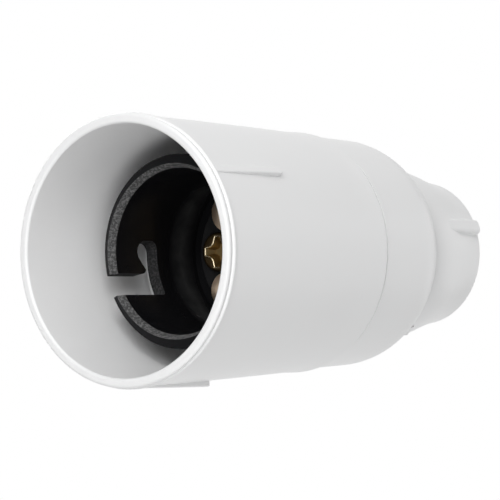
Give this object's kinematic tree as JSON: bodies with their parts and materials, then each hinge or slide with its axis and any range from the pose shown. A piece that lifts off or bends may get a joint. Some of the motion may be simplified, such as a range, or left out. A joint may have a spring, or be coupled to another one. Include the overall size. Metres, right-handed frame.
{
  "type": "bayonet lamp holder",
  "caption": "White bayonet lamp holder with a tapered skirt, a black slotted barrel with sprung contacts, and a domed rear cap with a winged cord grip nut.",
  "frame": {"origin": "centre of the mouth, on the plane of its rim", "axes": "+Z along the socket's axis from the mouth to the cord entry, +Y towards the upper contact"},
  "size_m": [0.0374, 0.0374, 0.0679],
  "materials": {
    "white_moulding": "moulded, soft gloss",
    "grip_moulding": "moulded, satin",
    "black_moulding": "moulded, polished in the bore and speckled on the rim",
    "brass_contact": "turned",
    "brass_terminal": "turned",
    "brass_screw": "aged",
    "plated_screw": "plated",
    "spring_steel": "drawn wire"
  },
  "bodies": {
    "skirt": {"front_skirt": "white_moulding"},
    "rear": {"rear_cap": "white_moulding", "bayonet_barrel": "black_moulding", "terminal_block": "black_moulding", "terminal_upper": "brass_terminal", "terminal_lower": "brass_terminal", "terminal_screw_upper": "plated_screw", "terminal_screw_lower": "plated_screw", "plunger_spring_upper": "spring_steel", "plunger_spring_lower": "spring_steel", "barrel_screw_left": "brass_screw", "barrel_screw_right": "brass_screw", "screw_insert_left": "brass_terminal", "screw_insert_right": "brass_terminal"},
    "contact_upper": {"contact_plunger_upper": "brass_contact"},
    "contact_lower": {"contact_plunger_lower": "brass_contact"},
    "grip_jaw": {"cord_grip_jaw": "grip_moulding"},
    "grip_nut": {"cord_grip_nut": "white_moulding"}
  },
  "joints": [
    {"name": "skirt_unscrew", "type": "slide", "parent": "skirt", "child": "rear", "axis": [0, 0, 1], "range_m": [0, 0.045]},
    {"name": "contact_press_upper", "type": "slide", "parent": "rear", "child": "contact_upper", "axis": [0, 0, 1], "range_m": [0, 0.0035], "stiffness_N_per_m": 2000, "springref_m": -0.0015, "deforming": ["plunger_spring_upper"]},
    {"name": "contact_press_lower", "type": "slide", "parent": "rear", "child": "contact_lower", "axis": [0, 0, 1], "range_m": [0, 0.0035], "stiffness_N_per_m": 2000, "springref_m": -0.0015, "deforming": ["plunger_spring_lower"]},
    {"name": "grip_lift", "type": "slide", "parent": "rear", "child": "grip_jaw", "axis": [0, 0, 1], "range_m": [0, 0.003]},
    {"name": "grip_nut_turn", "type": "hinge", "parent": "grip_jaw", "child": "grip_nut", "pos_m": [0, 0, 0.0567], "axis": [0, 0, 1], "range_deg": [0, 720]}
  ],
  "couplings": [
    {"joint": "grip_lift", "follows": "grip_nut_turn", "m_per_rad": 0.0002387}
  ]
}
